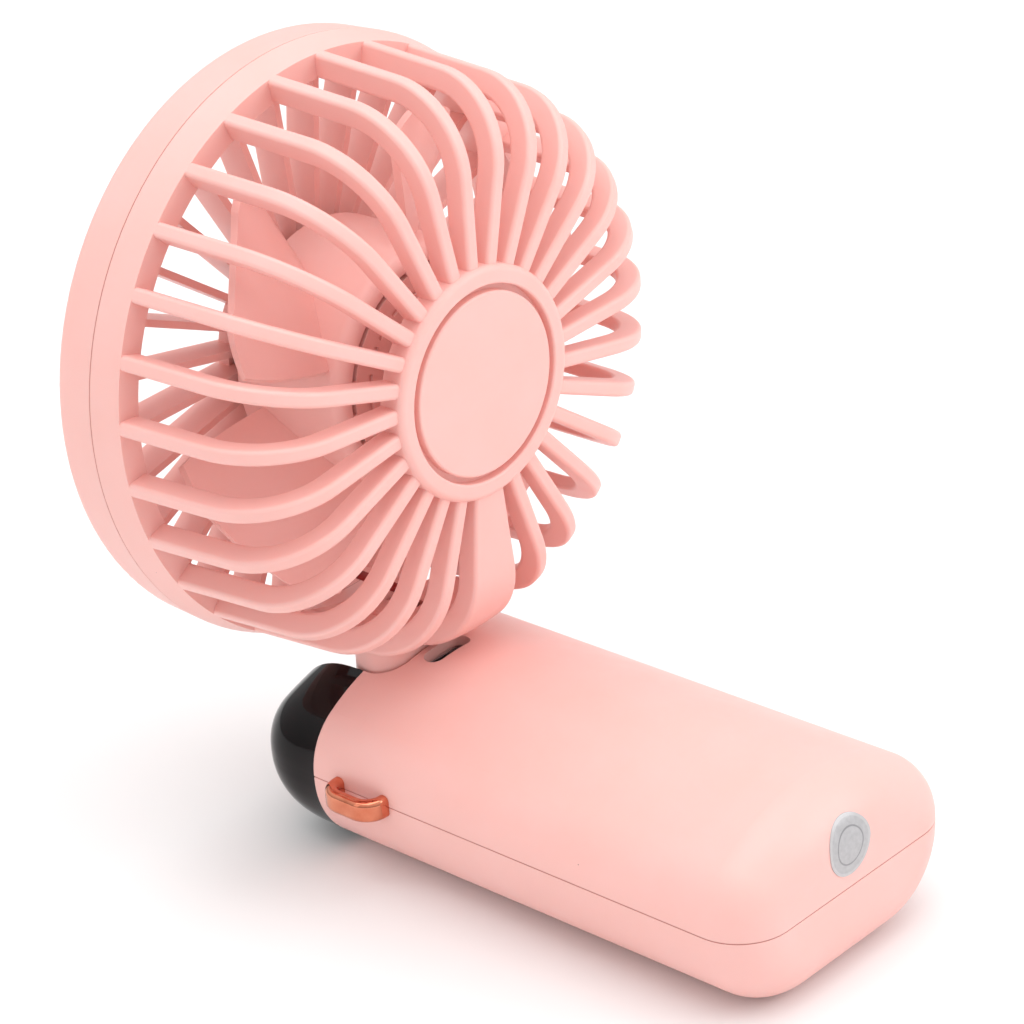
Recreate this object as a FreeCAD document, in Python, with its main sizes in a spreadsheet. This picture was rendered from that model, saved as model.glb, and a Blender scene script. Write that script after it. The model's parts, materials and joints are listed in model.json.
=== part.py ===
import FreeCAD, Part
import math
import os

import Sketcher
from FreeCAD import Placement, Rotation, Vector

# Handheld fan with a folding head. Millimetres, +Z up. The fan stands on the
# flat front face of its handle (z = 0) and blows towards -Y. The origin is the
# bottom centre of the whole fan. The head is folded square to the handle.

DIMENSIONS = {
    # handle
    "handle_half_width": 26.1,
    "handle_half_height": 16.0,
    "handle_end_y": 56.78,
    "side_flat": 0.5,
    "crown_corner": 11.1,
    "front_corner": 15.5,
    "end_round": 9.0,
    "shell_wall": 1.8,
    "nose_plan_round": 10.7,
    "nose_reach": 16.4,
    "nose_power": 2.4,
    "seam_break": 0.15,
    # hinge between the handle and the head
    "hinge_y": -33.3,
    "barrel_radius": 7.2,
    "barrel_half_length": 12.4,
    "shaft_radius": 2.0,
    "shaft_bore": 1.3,
    "shaft_half_length": 17.6,
    "shaft_fit": 0.05,
    "neck_half_width": 12.4,
    "neck_half_depth": 5.2,
    "slot_half_width": 13.0,
    "slot_half_depth": 5.7,
    "slot_corner": 5.0,
    "cradle_gap": 0.4,
    "cradle_wall": 1.2,
    "cheek_wall": 1.2,
    "ear_wall": 1.6,
    "ear_radius": 6.0,
    "washer_radius": 5.4,
    # head, measured from its parting plane along its axis
    "head_y": -49.5,
    "head_axis_drop": 64.7,
    "rim_radius": 50.0,
    "rim_front_radius": 49.7,
    "rim_front_depth": 8.2,
    "rim_front_round": 1.9,
    "rim_bore": 46.0,
    "rim_back_radius": 48.8,
    "rim_back_depth": 5.3,
    "cage_depth": 35.2,
    "cage_shoulder": 14.5,
    "cage_side_taper": 4.0,
    "rib_width": 2.5,
    "rib_depth": 4.0,
    "rib_round": 0.7,
    "hub_ring_radius": 19.1,
    "hub_ring_bore": 16.1,
    "hub_ring_depth": 36.05,
    "hub_floor_depth": 34.4,
    "hub_back_depth": 31.6,
    "hub_disc_radius": 15.0,
    "hub_disc_wall": 1.6,
    "hub_disc_round": 0.35,
    "vane_wall": 1.2,
    "vane_front": 7.2,
    "vane_back": 1.0,
    "motor_plate_radius": 17.0,
    "motor_plate_back": 4.2,
    # impeller and motor
    "impeller_radius": 40.4,
    "impeller_hub_radius": 20.5,
    "impeller_hub_front": 1.5,
    "impeller_hub_back": 24.4,
    "impeller_wall": 1.4,
    "blade_wall": 1.3,
    "motor_shaft_radius": 1.0,
    "motor_shaft_fit": 0.02,
    "bearing_radius": 2.5,
    "bearing_length": 2.4,
    "bearing_tube_radius": 3.7,
    "stator_radius": 10.4,
    "stator_front": -0.5,
    "stator_back": 5.5,
    "magnet_radius": 11.8,
    "magnet_wall": 1.0,
    "bell_radius": 12.6,
    "bell_front": -2.4,
    "bell_back": 10.3,
    # handle contents
    "cell_radius": 9.1,
    "cell_length": 65.0,
    "cell_spacing": 18.8,
    "cell_front_y": -13.4,
    "port_x": 2.0,
    "port_y": -24.7,
    "port_length": 8.94,
    "port_width": 3.16,
    "port_top": 29.9,
    "port_slot_length": 9.5,
    "port_slot_width": 3.6,
    "board_top": 23.4,
    "board_wall": 1.2,
    "button_y": -20.5,
    "button_radius": 5.0,
    "button_gap": 0.3,
    "loop_height": 3.8,
    "loop_wall": 2.3,
    "loop_front_y": -28.6,
    "loop_back_y": -16.4,
    "loop_reach": 4.6,
    "sticker_radius": 4.9,
    "sticker_wall": 0.12,
}

RIB_COUNT = 29
BLADE_COUNT = 5
TOOTH_COUNT = 6
VENT_COUNT = 20

os.makedirs("parts", exist_ok=True)
doc = FreeCAD.newDocument("folding_fan")
sheet = doc.addObject("Spreadsheet::Sheet", "Sizes")
for row, (alias, number) in enumerate(DIMENSIONS.items(), start=1):
    sheet.set(f"A{row}", alias)
    sheet.set(f"B{row}", str(number))
    sheet.setAlias(f"B{row}", alias)
doc.recompute()


class Length:
    """A size that knows its value and the sheet expression behind it."""

    def __init__(self, value, text):
        self.value = float(value)
        self.text = text

    def __float__(self):
        return self.value

    def combine(self, other, sign, value):
        return Length(value, f"({self.text} {sign} {as_length(other).text})")

    def __add__(self, other):
        return self.combine(other, "+", self.value + float(other))

    def __sub__(self, other):
        return self.combine(other, "-", self.value - float(other))

    def __mul__(self, other):
        return self.combine(other, "*", self.value * float(other))

    def __truediv__(self, other):
        return self.combine(other, "/", self.value / float(other))

    def __neg__(self):
        return Length(-self.value, f"(0 - {self.text})")


def as_length(number):
    return number if isinstance(number, Length) else Length(number, f"({float(number)})")


class Sizes:
    """Reads a size from the sheet by its alias."""

    def __getattr__(self, alias):
        return Length(sheet.get(alias), f"Sizes.{alias}")


size = Sizes()
nodes = []


def keep(thing, label):
    """Makes a document object one named piece of the fan."""
    thing.Label = label
    nodes.append(thing)
    return thing


def feature(label, shape, placement=None):
    """A piece whose shape is built with Part's own functions."""
    thing = doc.addObject("Part::Feature", label)
    thing.Shape = shape
    if placement is not None:
        thing.Placement = placement
    return keep(thing, label)


# The head's own frame: its axis is +Z and points to the back of the fan, +Y
# points down to the hinge, and the parting plane of the head is z = 0.
HINGE = Vector(0, float(size.hinge_y), float(size.handle_half_height))
HEAD_AXIS_Z = float(size.handle_half_height + size.head_axis_drop)
HEAD = Placement(Vector(0, float(size.head_y), HEAD_AXIS_Z), Rotation(Vector(1, 0, 0), -90))
HINGE_SETBACK = float(size.hinge_y - size.head_y)
X_AXIS = Vector(1, 0, 0)
Y_AXIS = Vector(0, 1, 0)
Z_AXIS = Vector(0, 0, 1)
ORIGIN = Vector(0, 0, 0)


# ---------------------------------------------------------------- helpers

def bind(thing, prop, length):
    """Binds a property to the sheet, and sets its value at once."""
    thing.setExpression(prop, as_length(length).text)


def primitive(kind, name, **sizes):
    thing = doc.addObject(kind, name)
    for prop, length in sizes.items():
        bind(thing, prop, length)
    return thing


def locate(thing, x=0, y=0, z=0, rotation=None):
    if rotation is not None:
        thing.Placement = Placement(ORIGIN, rotation)
    for axis, length in (("x", x), ("y", y), ("z", z)):
        bind(thing, f"Placement.Base.{axis}", length)
    return thing


def cylinder(name, radius, height, x=0, y=0, z=0, rotation=None):
    thing = primitive("Part::Cylinder", name, Radius=radius, Height=height)
    return locate(thing, x, y, z, rotation)


def cut(name, base, tool):
    thing = doc.addObject("Part::Cut", name)
    thing.Base = base
    thing.Tool = tool
    return thing


def group(name, members):
    thing = doc.addObject("Part::Compound", name)
    thing.Links = members
    return thing


def tube(name, radius, bore, height, x=0, y=0, z=0, rotation=None):
    outside = cylinder(name + "_outside", radius, height, x, y, z, rotation)
    inside = cylinder(name + "_inside", bore, height, x, y, z, rotation)
    return cut(name, outside, inside)


def plane_of(body, role):
    return next(item for item in body.Origin.OriginFeatures if item.Role == role)


def new_body(label, placement=None):
    body = doc.addObject("PartDesign::Body", label)
    if placement is not None:
        body.Placement = placement
    return keep(body, label)


def new_sketch(body, name, role="XY_Plane", level=0):
    sketch = body.newObject("Sketcher::SketchObject", name)
    sketch.AttachmentSupport = (plane_of(body, role), [""])
    sketch.MapMode = "FlatFace"
    bind(sketch, "AttachmentOffset.Base.z", level)
    return sketch


def constrain(sketch, kind, *where, length):
    """Adds one driving constraint and binds it to the sheet."""
    number = sketch.addConstraint(Sketcher.Constraint(kind, *where, float(length)))
    sketch.setExpression(f"Constraints[{number}]", as_length(length).text)


def draw_circle(sketch, radius, x=0, y=0):
    number = sketch.addGeometry(Part.Circle(Vector(float(x), float(y), 0), Z_AXIS, float(radius)))
    constrain(sketch, "Radius", number, length=radius)
    constrain(sketch, "DistanceX", -1, 1, number, 3, length=x)
    constrain(sketch, "DistanceY", -1, 1, number, 3, length=y)


def draw_polygon(sketch, corners):
    """A closed outline whose every corner is held by two bound distances."""
    spots = [Vector(float(x), float(y), 0) for x, y in corners]
    first = sketch.GeometryCount
    for index, spot in enumerate(spots):
        sketch.addGeometry(Part.LineSegment(spot, spots[(index + 1) % len(spots)]))
    for index, (x, y) in enumerate(corners):
        line = first + index
        after = first + (index + 1) % len(corners)
        sketch.addConstraint(Sketcher.Constraint("Coincident", line, 2, after, 1))
        constrain(sketch, "DistanceX", -1, 1, line, 1, length=x)
        constrain(sketch, "DistanceY", -1, 1, line, 1, length=y)


def draw_rectangle(sketch, width, height, x=0, y=0):
    half_width = as_length(width) / 2
    half_height = as_length(height) / 2
    x = as_length(x)
    y = as_length(y)
    draw_polygon(sketch, [
        (x - half_width, y - half_height),
        (x + half_width, y - half_height),
        (x + half_width, y + half_height),
        (x - half_width, y + half_height),
    ])


def pad(body, sketch, length, name="Pad"):
    solid = body.newObject("PartDesign::Pad", name)
    solid.Profile = sketch
    bind(solid, "Length", length)
    return solid


def pocket(body, sketch, length, name="Pocket", reverse=False):
    hole = body.newObject("PartDesign::Pocket", name)
    hole.Profile = sketch
    hole.Reversed = reverse
    bind(hole, "Length", length)
    return hole


def revolve(body, sketch, name="Revolution"):
    solid = body.newObject("PartDesign::Revolution", name)
    solid.Profile = sketch
    solid.ReferenceAxis = (sketch, ["V_Axis"])
    solid.Angle = 360
    return solid


def round_edges(body, base, radius, chosen, name="Fillet"):
    """Rounds the edges of the last solid for which chosen(edge) is true."""
    doc.recompute()
    edges = [f"Edge{i}" for i, edge in enumerate(base.Shape.Edges, start=1) if chosen(edge)]
    fillet = body.newObject("PartDesign::Fillet", name)
    fillet.Base = (base, edges)
    bind(fillet, "Radius", radius)
    return fillet


def level_circle(edge, z):
    """True for a circular edge that lies flat at height z."""
    flat = isinstance(edge.Curve, Part.Circle)
    return flat and abs(edge.BoundBox.ZMin - z) < 1e-4 and abs(edge.BoundBox.ZMax - z) < 1e-4


def polygon_face(points):
    wire = Part.makePolygon([Vector(*p) for p in points] + [Vector(*points[0])])
    return Part.Face(wire)


def block(x0, x1, y0, y1, z0, z1):
    return Part.makeBox(x1 - x0, y1 - y0, z1 - z0, Vector(x0, y0, z0))


def rod(radius, start, end):
    span = end - start
    return Part.makeCylinder(radius, span.Length, start, span)


def ring(radius, bore, z0, z1):
    outside = Part.makeCylinder(radius, z1 - z0, Vector(0, 0, z0))
    return outside.cut(Part.makeCylinder(bore, z1 - z0, Vector(0, 0, z0)))


def turned(shape, count, start=0.0, step=None):
    """Copies of a shape spaced evenly about the Z axis."""
    copies = []
    for index in range(count):
        copy = shape.copy()
        copy.rotate(ORIGIN, Z_AXIS, start + index * (step or 360.0 / count))
        copies.append(copy)
    return copies


def pipe(points, bends, radius):
    """A round lead of straight runs joined by tangent arcs."""
    edges = []
    start = points[0]
    for corner, after, bend in zip(points[1:-1], points[2:], bends):
        back = (start - corner).normalize()
        ahead = (after - corner).normalize()
        half_turn = back.getAngle(ahead) / 2
        reach = bend / math.tan(half_turn)
        enter = corner + back * reach
        leave = corner + ahead * reach
        middle_way = (back + ahead).normalize()
        centre = corner + middle_way * (bend / math.sin(half_turn))
        middle = centre - middle_way * bend
        edges.append(Part.LineSegment(start, enter).toShape())
        edges.append(Part.Arc(enter, middle, leave).toShape())
        start = leave
    edges.append(Part.LineSegment(start, points[-1]).toShape())
    path = Part.Wire(edges)
    way = points[1] - points[0]
    outline = Part.Wire(Part.makeCircle(radius, points[0], way))
    lead = path.makePipeShell([outline], True, False)
    print("lead radii", [round(b, 1) for b in bends], "volume check",
          round(lead.Volume / (math.pi * radius ** 2 * path.Length), 3))
    return lead


# ---------------------------------------------------------------- handle shapes

def handle_section(y, width, inset, scale=1.0):
    """Outline across the handle: crowned back, round sides, flat front.

    width is the half width. The heights and corner arcs are those of the
    handle, inset all round and then scaled.
    """
    crown = (float(size.handle_half_height) - inset) * scale
    front = crown
    flat = float(size.side_flat) * scale
    back_corner = (float(size.crown_corner) - inset) * scale
    front_corner = (float(size.front_corner) - inset) * scale
    back_x = width - back_corner
    front_x = width - front_corner
    rise = crown - back_corner
    drop = (back_x ** 2 + flat ** 2 - rise ** 2) / (2 * (rise - flat))
    crown_radius = crown + drop
    middle = float(size.handle_half_height)

    def at(x, z):
        return Vector(x, y, middle + z)

    lean = math.atan2(back_x, flat + drop)
    touch = (crown_radius * math.sin(lean), crown_radius * math.cos(lean) - drop)
    half_lean = (math.pi / 2 + lean) / 2
    back_middle = (back_x + back_corner * math.sin(half_lean), flat + back_corner * math.cos(half_lean))
    diagonal = front_corner * math.sqrt(0.5)
    front_middle = (front_x + diagonal, -flat - diagonal)
    edges = [
        Part.Arc(at(-touch[0], touch[1]), at(0, crown), at(*touch)).toShape(),
        Part.Arc(at(*touch), at(*back_middle), at(width, flat)).toShape(),
        Part.LineSegment(at(width, flat), at(width, -flat)).toShape(),
        Part.Arc(at(width, -flat), at(*front_middle), at(front_x, -front)).toShape(),
        Part.LineSegment(at(front_x, -front), at(-front_x, -front)).toShape(),
        Part.Arc(at(-front_x, -front), at(-front_middle[0], front_middle[1]), at(-width, -flat)).toShape(),
        Part.LineSegment(at(-width, -flat), at(-width, flat)).toShape(),
        Part.Arc(at(-width, flat), at(-back_middle[0], back_middle[1]), at(-touch[0], touch[1])).toShape(),
    ]
    return Part.Wire(edges)


def handle_prism(inset, y0, y1):
    """The straight part of the handle, inset all round."""
    width = float(size.handle_half_width) - inset
    return Part.Face(handle_section(y0, width, inset)).extrude(Vector(0, y1 - y0, 0))


def handle_solid(inset, y0):
    """The handle from y0 to its rounded end, inset all round."""
    end_y = float(size.handle_end_y) - inset
    solid = handle_prism(inset, y0, end_y)
    end_edges = [e for e in solid.Edges if abs(e.BoundBox.YMin - end_y) < 1e-4]
    return solid.makeFillet(float(size.end_round) - inset, end_edges)


def nose_solid(inset):
    """The rounded nose in front of the hinge plane, inset all round."""
    radius = float(size.nose_reach) - inset
    plan = float(size.nose_plan_round) - inset
    width = float(size.handle_half_width) - inset
    straight = radius - plan
    bend = 2 / float(size.nose_power)
    outlines = []
    for angle in (0, 8, 18, 30, 43, 56, 67, 76, 83):
        reach = radius * math.sin(math.radians(angle)) ** bend
        scale = math.cos(math.radians(angle)) ** bend
        beyond = max(reach - straight, 0.0)
        narrowed = width - plan + math.sqrt(plan ** 2 - beyond ** 2)
        outlines.append(handle_section(float(size.hinge_y) - reach, narrowed, inset, scale))
    return Part.makeLoft(outlines, True, False)


PARTING = float(size.handle_half_height)
HANDLE_TOP = 2 * PARTING
SEAM_Y = float(size.hinge_y)
END_Y = float(size.handle_end_y)
WALL = float(size.shell_wall)
SLOT_END_Y = SEAM_Y + float(size.slot_half_depth)
FAR = 200.0


def neck_slot():
    """Room for the neck to swing from upright to straight ahead."""
    half = float(size.slot_half_width)
    corner = float(size.slot_corner)
    floor = PARTING - float(size.slot_half_depth)
    slot = block(-half, half, -FAR, SLOT_END_Y, floor, FAR)
    upright = [
        edge for edge in slot.Edges
        if edge.BoundBox.ZLength > 1 and abs(edge.BoundBox.YMax - SLOT_END_Y) < 1e-4
    ]
    return slot.makeFillet(corner, upright)


def obround(length, width, z0, z1):
    """A slot shape with round ends, long along X."""
    reach = (length - width) / 2
    shape = block(-reach, reach, -width / 2, width / 2, z0, z1)
    for x in (-reach, reach):
        shape = shape.fuse(Part.makeCylinder(width / 2, z1 - z0, Vector(x, 0, z0)))
    return shape.removeSplitter()


def at_port(shape):
    shape.translate(Vector(float(size.port_x), float(size.port_y), 0))
    return shape


BOARD_POST_X = 13.5
BOARD_POST_Y = -17.6
EAR_SCREW_X = 16.9
EAR_FOOT_LENGTH = 3.9
EAR_SCREW_Y = -26.0
EAR_FOOT_Z = 5.6
BUTTON_POST_X = 8.2
BUTTON_FACE = 0.4
SWITCH_TOP = 6.6
SWITCH_BOTTOM = 4.4
LIGHT_BOARD_FRONT = 2.3
LIGHT_BOARD_Z = 2.8


def make_shells():
    """Back and front halves of the handle, split at the parting plane."""
    outside = handle_solid(0, SEAM_Y)
    inside = handle_solid(WALL, SEAM_Y - 1)
    upper = block(-FAR, FAR, -FAR, FAR, PARTING, FAR)
    lower = block(-FAR, FAR, -FAR, FAR, -FAR, PARTING)
    hollow = outside.cut(inside).cut(make_loop())

    back = hollow.common(upper).cut(neck_slot())
    slot = obround(float(size.port_slot_length), float(size.port_slot_width), HANDLE_TOP - 4, FAR)
    back = back.cut(at_port(slot))
    for side in (-1, 1):
        foot = Vector(side * BOARD_POST_X, BOARD_POST_Y, float(size.board_top))
        post = rod(2.0, foot, foot + Vector(0, 0, 7.4)).common(outside)
        pilot = rod(0.7, foot, foot + Vector(0, 0, 5.0))
        back = back.fuse(post).cut(pilot)

    front = hollow.common(lower)
    hole = float(size.button_radius + size.button_gap)
    front = front.cut(Part.makeCylinder(hole, 6, Vector(0, float(size.button_y), -1)))
    for side in (-1, 1):
        foot = Vector(side * EAR_SCREW_X, EAR_SCREW_Y, 0.5)
        top = Vector(side * EAR_SCREW_X, EAR_SCREW_Y, EAR_FOOT_Z)
        boss = rod(1.9, foot, top).common(outside)
        front = front.fuse(boss).cut(rod(0.7, top - Vector(0, 0, 1.6), top))
        post = Vector(side * BUTTON_POST_X, float(size.button_y), 0.5)
        front = front.fuse(rod(1.2, post, post + Vector(0, 0, SWITCH_TOP - 0.5)))
    return soften_seam(back.removeSplitter()), soften_seam(front.removeSplitter())


def soften_seam(shell):
    """Breaks the outer edges along the parting plane and at the nose seam."""
    half = float(size.handle_half_width)
    rims = []
    for edge in shell.Edges:
        middle = edge.valueAt((edge.FirstParameter + edge.LastParameter) / 2)
        on_parting = abs(edge.BoundBox.ZMin - PARTING) < 1e-4 and edge.BoundBox.ZLength < 1e-4
        outer = abs(middle.x) > half - 0.01 and middle.y < END_Y - float(size.end_round) + 0.01
        end = middle.y > END_Y - 0.01
        if on_parting and (outer or end):
            rims.append(edge)
    return shell.makeChamfer(float(size.seam_break), rims)


def make_nose():
    """Black rounded nose with the neck slot, inner cheeks and a joint lip."""
    outside = nose_solid(0)
    inside = nose_solid(WALL)
    cavity = inside.fuse(handle_prism(WALL, SEAM_Y, SEAM_Y + 1))
    skin = outside.cut(cavity)
    lip = handle_prism(WALL + 0.06, SEAM_Y - 0.5, SEAM_Y + 2.2)
    lip = lip.cut(handle_prism(WALL + 1.0, SEAM_Y - 1, SEAM_Y + 3))
    lip = lip.cut(block(-FAR, FAR, -FAR, SEAM_Y, -FAR, FAR))
    bridge = handle_prism(0.9, SEAM_Y - 1.2, SEAM_Y).cut(handle_prism(WALL + 1.0, SEAM_Y - 2, SEAM_Y + 1))
    bridge = bridge.common(outside)
    nose = skin.fuse([lip, bridge])
    within = inside.fuse(handle_prism(WALL + 0.06, SEAM_Y, SLOT_END_Y))
    start = float(size.slot_half_width)
    for side in (-1, 1):
        x0, x1 = sorted((side * start, side * (start + float(size.cheek_wall))))
        cheek = block(x0, x1, -FAR, SLOT_END_Y, -FAR, FAR).common(within)
        nose = nose.fuse(cheek)
    eye = float(size.washer_radius) + 0.25
    span = Vector(float(size.slot_half_width + size.cheek_wall) + 1, 0, 0)
    nose = nose.cut(rod(eye, HINGE - span, HINGE + span))
    nose = nose.cut(neck_slot())
    return max(nose.Solids, key=lambda solid: solid.Volume)


# ---------------------------------------------------------------- head shapes

def cage_outline(inset):
    """Corners of the rear cage in (radius, depth), inset from the outside.

    A flat back, one shoulder arc, and a side that tapers towards the back.
    Returns the start, the three points of the arc and the end.
    """
    taper = math.radians(float(size.cage_side_taper))
    depth = float(size.cage_depth) - inset
    shoulder = float(size.cage_shoulder) - inset
    foot = (float(size.rim_back_radius) - inset / math.cos(taper), float(size.rim_back_depth))
    centre_z = float(size.cage_depth - size.cage_shoulder)
    lean = (centre_z - foot[1]) * math.tan(taper)
    centre_r = foot[0] - lean - shoulder / math.cos(taper)
    start = (float(size.hub_ring_bore) + 0.6, depth)
    arc = []
    for angle in (math.pi / 2, (math.pi / 2 + taper) / 2, taper):
        arc.append((centre_r + shoulder * math.cos(angle), centre_z + shoulder * math.sin(angle)))
    below = (foot[0] + 0.4 * math.tan(taper), foot[1] - 0.4)
    return [start] + arc + [below]


def rib_face():
    """Side view of one rib in the XZ plane, ready to extrude or turn."""
    outer = [Vector(r, 0, z) for r, z in cage_outline(0)]
    inner = [Vector(r, 0, z) for r, z in cage_outline(float(size.rib_depth))]
    edges = [
        Part.LineSegment(outer[0], outer[1]).toShape(),
        Part.Arc(outer[1], outer[2], outer[3]).toShape(),
        Part.LineSegment(outer[3], outer[4]).toShape(),
        Part.LineSegment(outer[4], inner[4]).toShape(),
        Part.LineSegment(inner[4], inner[3]).toShape(),
        Part.Arc(inner[3], inner[2], inner[1]).toShape(),
        Part.LineSegment(inner[1], inner[0]).toShape(),
        Part.LineSegment(inner[0], outer[0]).toShape(),
    ]
    return Part.Face(Part.Wire(edges))


def make_rib():
    width = float(size.rib_width)
    face = rib_face()
    face.translate(Vector(0, -width / 2, 0))
    slab = face.extrude(Vector(0, width, 0))
    rounded = []
    for edge in slab.Edges:
        bounds = edge.BoundBox
        flat = bounds.YLength < 1e-4 and max(bounds.XLength, bounds.ZLength) > 4.5
        if flat:
            rounded.append(edge)
    return slab.makeFillet(float(size.rib_round), rounded)


def turned_ring(points, rounds=()):
    """A ring from an (r, z) outline. rounds lists (corner, radius)."""
    solid = polygon_face([(r, 0, z) for r, z in points]).revolve(ORIGIN, Z_AXIS, 360)
    for (r, z), radius in rounds:
        edges = []
        for edge in solid.Edges:
            bounds = edge.BoundBox
            level = bounds.ZLength < 1e-4 and abs(bounds.ZMin - z) < 1e-4
            if level and abs(bounds.XMax - r) < 1e-3:
                edges.append(edge)
        solid = solid.makeFillet(radius, edges)
    return solid


def make_rear_cage():
    ring_radius = float(size.hub_ring_radius)
    ring_bore = float(size.hub_ring_bore)
    ring_top = float(size.hub_ring_depth)
    hub = turned_ring([
        (0, float(size.hub_back_depth)),
        (ring_radius, float(size.hub_back_depth)),
        (ring_radius, ring_top),
        (ring_bore, ring_top),
        (ring_bore, float(size.hub_floor_depth)),
        (0, float(size.hub_floor_depth)),
    ], [((ring_radius, ring_top), 1.1), ((ring_bore, ring_top), 0.4)])
    back_radius = float(size.rim_back_radius)
    back_depth = float(size.rim_back_depth)
    rim_radius = float(size.rim_radius)
    bore = float(size.rim_bore)
    rim = turned_ring([
        (bore, 0),
        (rim_radius - float(size.seam_break), 0),
        (rim_radius, float(size.seam_break)),
        (back_radius, back_depth),
        (back_radius - float(size.rib_depth), back_depth),
    ])
    ribs = turned(make_rib(), RIB_COUNT, start=-90)
    pitch = 360.0 / RIB_COUNT
    spine = rib_face().revolve(ORIGIN, Z_AXIS, pitch)
    spine.rotate(ORIGIN, Z_AXIS, 90 - pitch / 2)
    cage = hub.fuse([rim, spine] + ribs)
    for solid in neck_half(1):
        cage = cage.fuse(solid)
    cage = cage.cut(neck_hollow())
    return cage.removeSplitter()


NECK_TOP = 44.6
NECK_ROUND = 4.9
COVER_TOP = 48.35


def neck_half(side):
    """Half of the neck and barrel: side 1 is the rear half, -1 the front."""
    width = float(size.neck_half_width)
    depth = float(size.neck_half_depth)
    drop = float(size.head_axis_drop)
    barrel = float(size.barrel_half_length)
    z0, z1 = sorted((HINGE_SETBACK, HINGE_SETBACK + side * FAR))
    keep_side = block(-FAR, FAR, -FAR, FAR, z0, z1)
    centre = Vector(0, drop, HINGE_SETBACK)
    reach = Vector(barrel, 0, 0)
    drum = rod(float(size.barrel_radius), centre - reach, centre + reach).common(keep_side)
    top = NECK_TOP if side > 0 else COVER_TOP
    column = block(-width, width, NECK_TOP, drop - 4.6, HINGE_SETBACK - depth, HINGE_SETBACK + depth)
    upright = [edge for edge in column.Edges if edge.BoundBox.YLength > NECK_ROUND]
    column = column.makeFillet(NECK_ROUND, upright)
    web = column.common(keep_side).common(block(-FAR, FAR, top, FAR, -FAR, FAR))
    solids = [web, drum]
    if side > 0:
        solids.append(column.common(block(-FAR, FAR, NECK_TOP, COVER_TOP, -FAR, FAR)))
    return solids


def neck_hollow():
    """Shaft bore, lead channel and screw pilots through the neck."""
    drop = float(size.head_axis_drop)
    centre = Vector(0, drop, HINGE_SETBACK)
    reach = Vector(20, 0, 0)
    bore = rod(float(size.shaft_radius + size.shaft_fit), centre - reach, centre + reach)
    side = LEAD_CHANNEL / 2
    channel = block(-side, side, 40.0, drop, HINGE_SETBACK - side, HINGE_SETBACK + side)
    entry = block(-side, side, 40.0, NECK_TOP + 2.9, HINGE_SETBACK - 5.5, HINGE_SETBACK + side)
    hollow = bore.fuse([channel, entry])
    for side in (-1, 1):
        spot = Vector(side * NECK_SCREW_X, NECK_SCREW_Y, HINGE_SETBACK)
        hollow = hollow.fuse(rod(0.8, spot, spot + Vector(0, 0, 3.6)))
    return hollow


LEAD_CHANNEL = 2.6
NECK_SCREW_X = 5.4
NECK_SCREW_Y = 53.2


def make_neck_cover():
    web, drum = neck_half(-1)
    cover = web.fuse(drum).cut(neck_hollow())
    for side in (-1, 1):
        spot = Vector(side * NECK_SCREW_X, NECK_SCREW_Y, HINGE_SETBACK)
        front = spot - Vector(0, 0, float(size.neck_half_depth))
        cover = cover.cut(rod(1.0, front, spot))
        cover = cover.cut(rod(1.7, front, front + Vector(0, 0, 1.7)))
    return cover.removeSplitter()


def make_neck_screws():
    screws = []
    for side in (-1, 1):
        spot = Vector(side * NECK_SCREW_X, NECK_SCREW_Y, HINGE_SETBACK)
        head = spot - Vector(0, 0, float(size.neck_half_depth) - 0.3)
        screw = rod(1.5, head, head + Vector(0, 0, 1.4)).fuse(rod(0.8, head, spot + Vector(0, 0, 3.4)))
        slot = block(-1.1, 1.1, -0.2, 0.2, 0, 0.6)
        slot.translate(head - Vector(0, 0, 0.05))
        screws.append(screw.cut(slot).removeSplitter())
    return Part.makeCompound(screws)


MOTOR_SCREW_RADIUS = 13.4
MOTOR_SCREW_HOLE = 0.55


def motor_screw_spots():
    """Where the four screws of the motor board stand, as (x, y) on the head."""
    reach = MOTOR_SCREW_RADIUS * math.sqrt(0.5)
    return [(reach, reach), (-reach, reach), (-reach, -reach), (reach, -reach)]


def make_front_grille():
    front = -float(size.rim_front_depth)
    wide = float(size.rim_front_radius)
    rim = float(size.rim_radius)
    bore = float(size.rim_bore)
    outline = [
        (bore, 0),
        (rim - float(size.seam_break), 0),
        (rim, -float(size.seam_break)),
        (wide, front + float(size.rim_front_round) - 0.2),
        (wide, front),
        (bore + 0.9, front),
        (bore, front + 0.9),
    ]
    hoop = turned_ring(outline, [((wide, front), float(size.rim_front_round) - 0.3)])
    plate_radius = float(size.motor_plate_radius)
    plate_back = -float(size.motor_plate_back)
    plate = turned_ring([
        (float(size.bearing_tube_radius), plate_back),
        (plate_radius, plate_back),
        (plate_radius, -float(size.vane_front) + 0.6),
        (plate_radius - 1.2, -float(size.vane_front) - 0.3),
        (0, -float(size.vane_front) - 0.3),
        (0, BEARING_TUBE_FRONT),
        (float(size.bearing_tube_radius), BEARING_TUBE_FRONT),
    ])
    half = float(size.vane_wall) / 2
    vane = block(plate_radius - 1.0, bore + 0.8, -half, half, -float(size.vane_front), -float(size.vane_back))
    grille = hoop.fuse([plate] + turned(vane, RIB_COUNT, start=-90 + 180.0 / RIB_COUNT))
    cuts = [block(-1.1, 1.1, 12.6, 44.4, -3.3, 0.5)]
    for x, y in motor_screw_spots():
        pilot = Vector(x, y, plate_back)
        cuts.append(rod(MOTOR_SCREW_HOLE, pilot - Vector(0, 0, 2.0), pilot + Vector(0, 0, 0.2)))
    return grille.cut(cuts).removeSplitter()


BEARING_TUBE_FRONT = -5.8
BEARING_TUBE_BACK = 8.6


# ---------------------------------------------------------------- impeller

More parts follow.
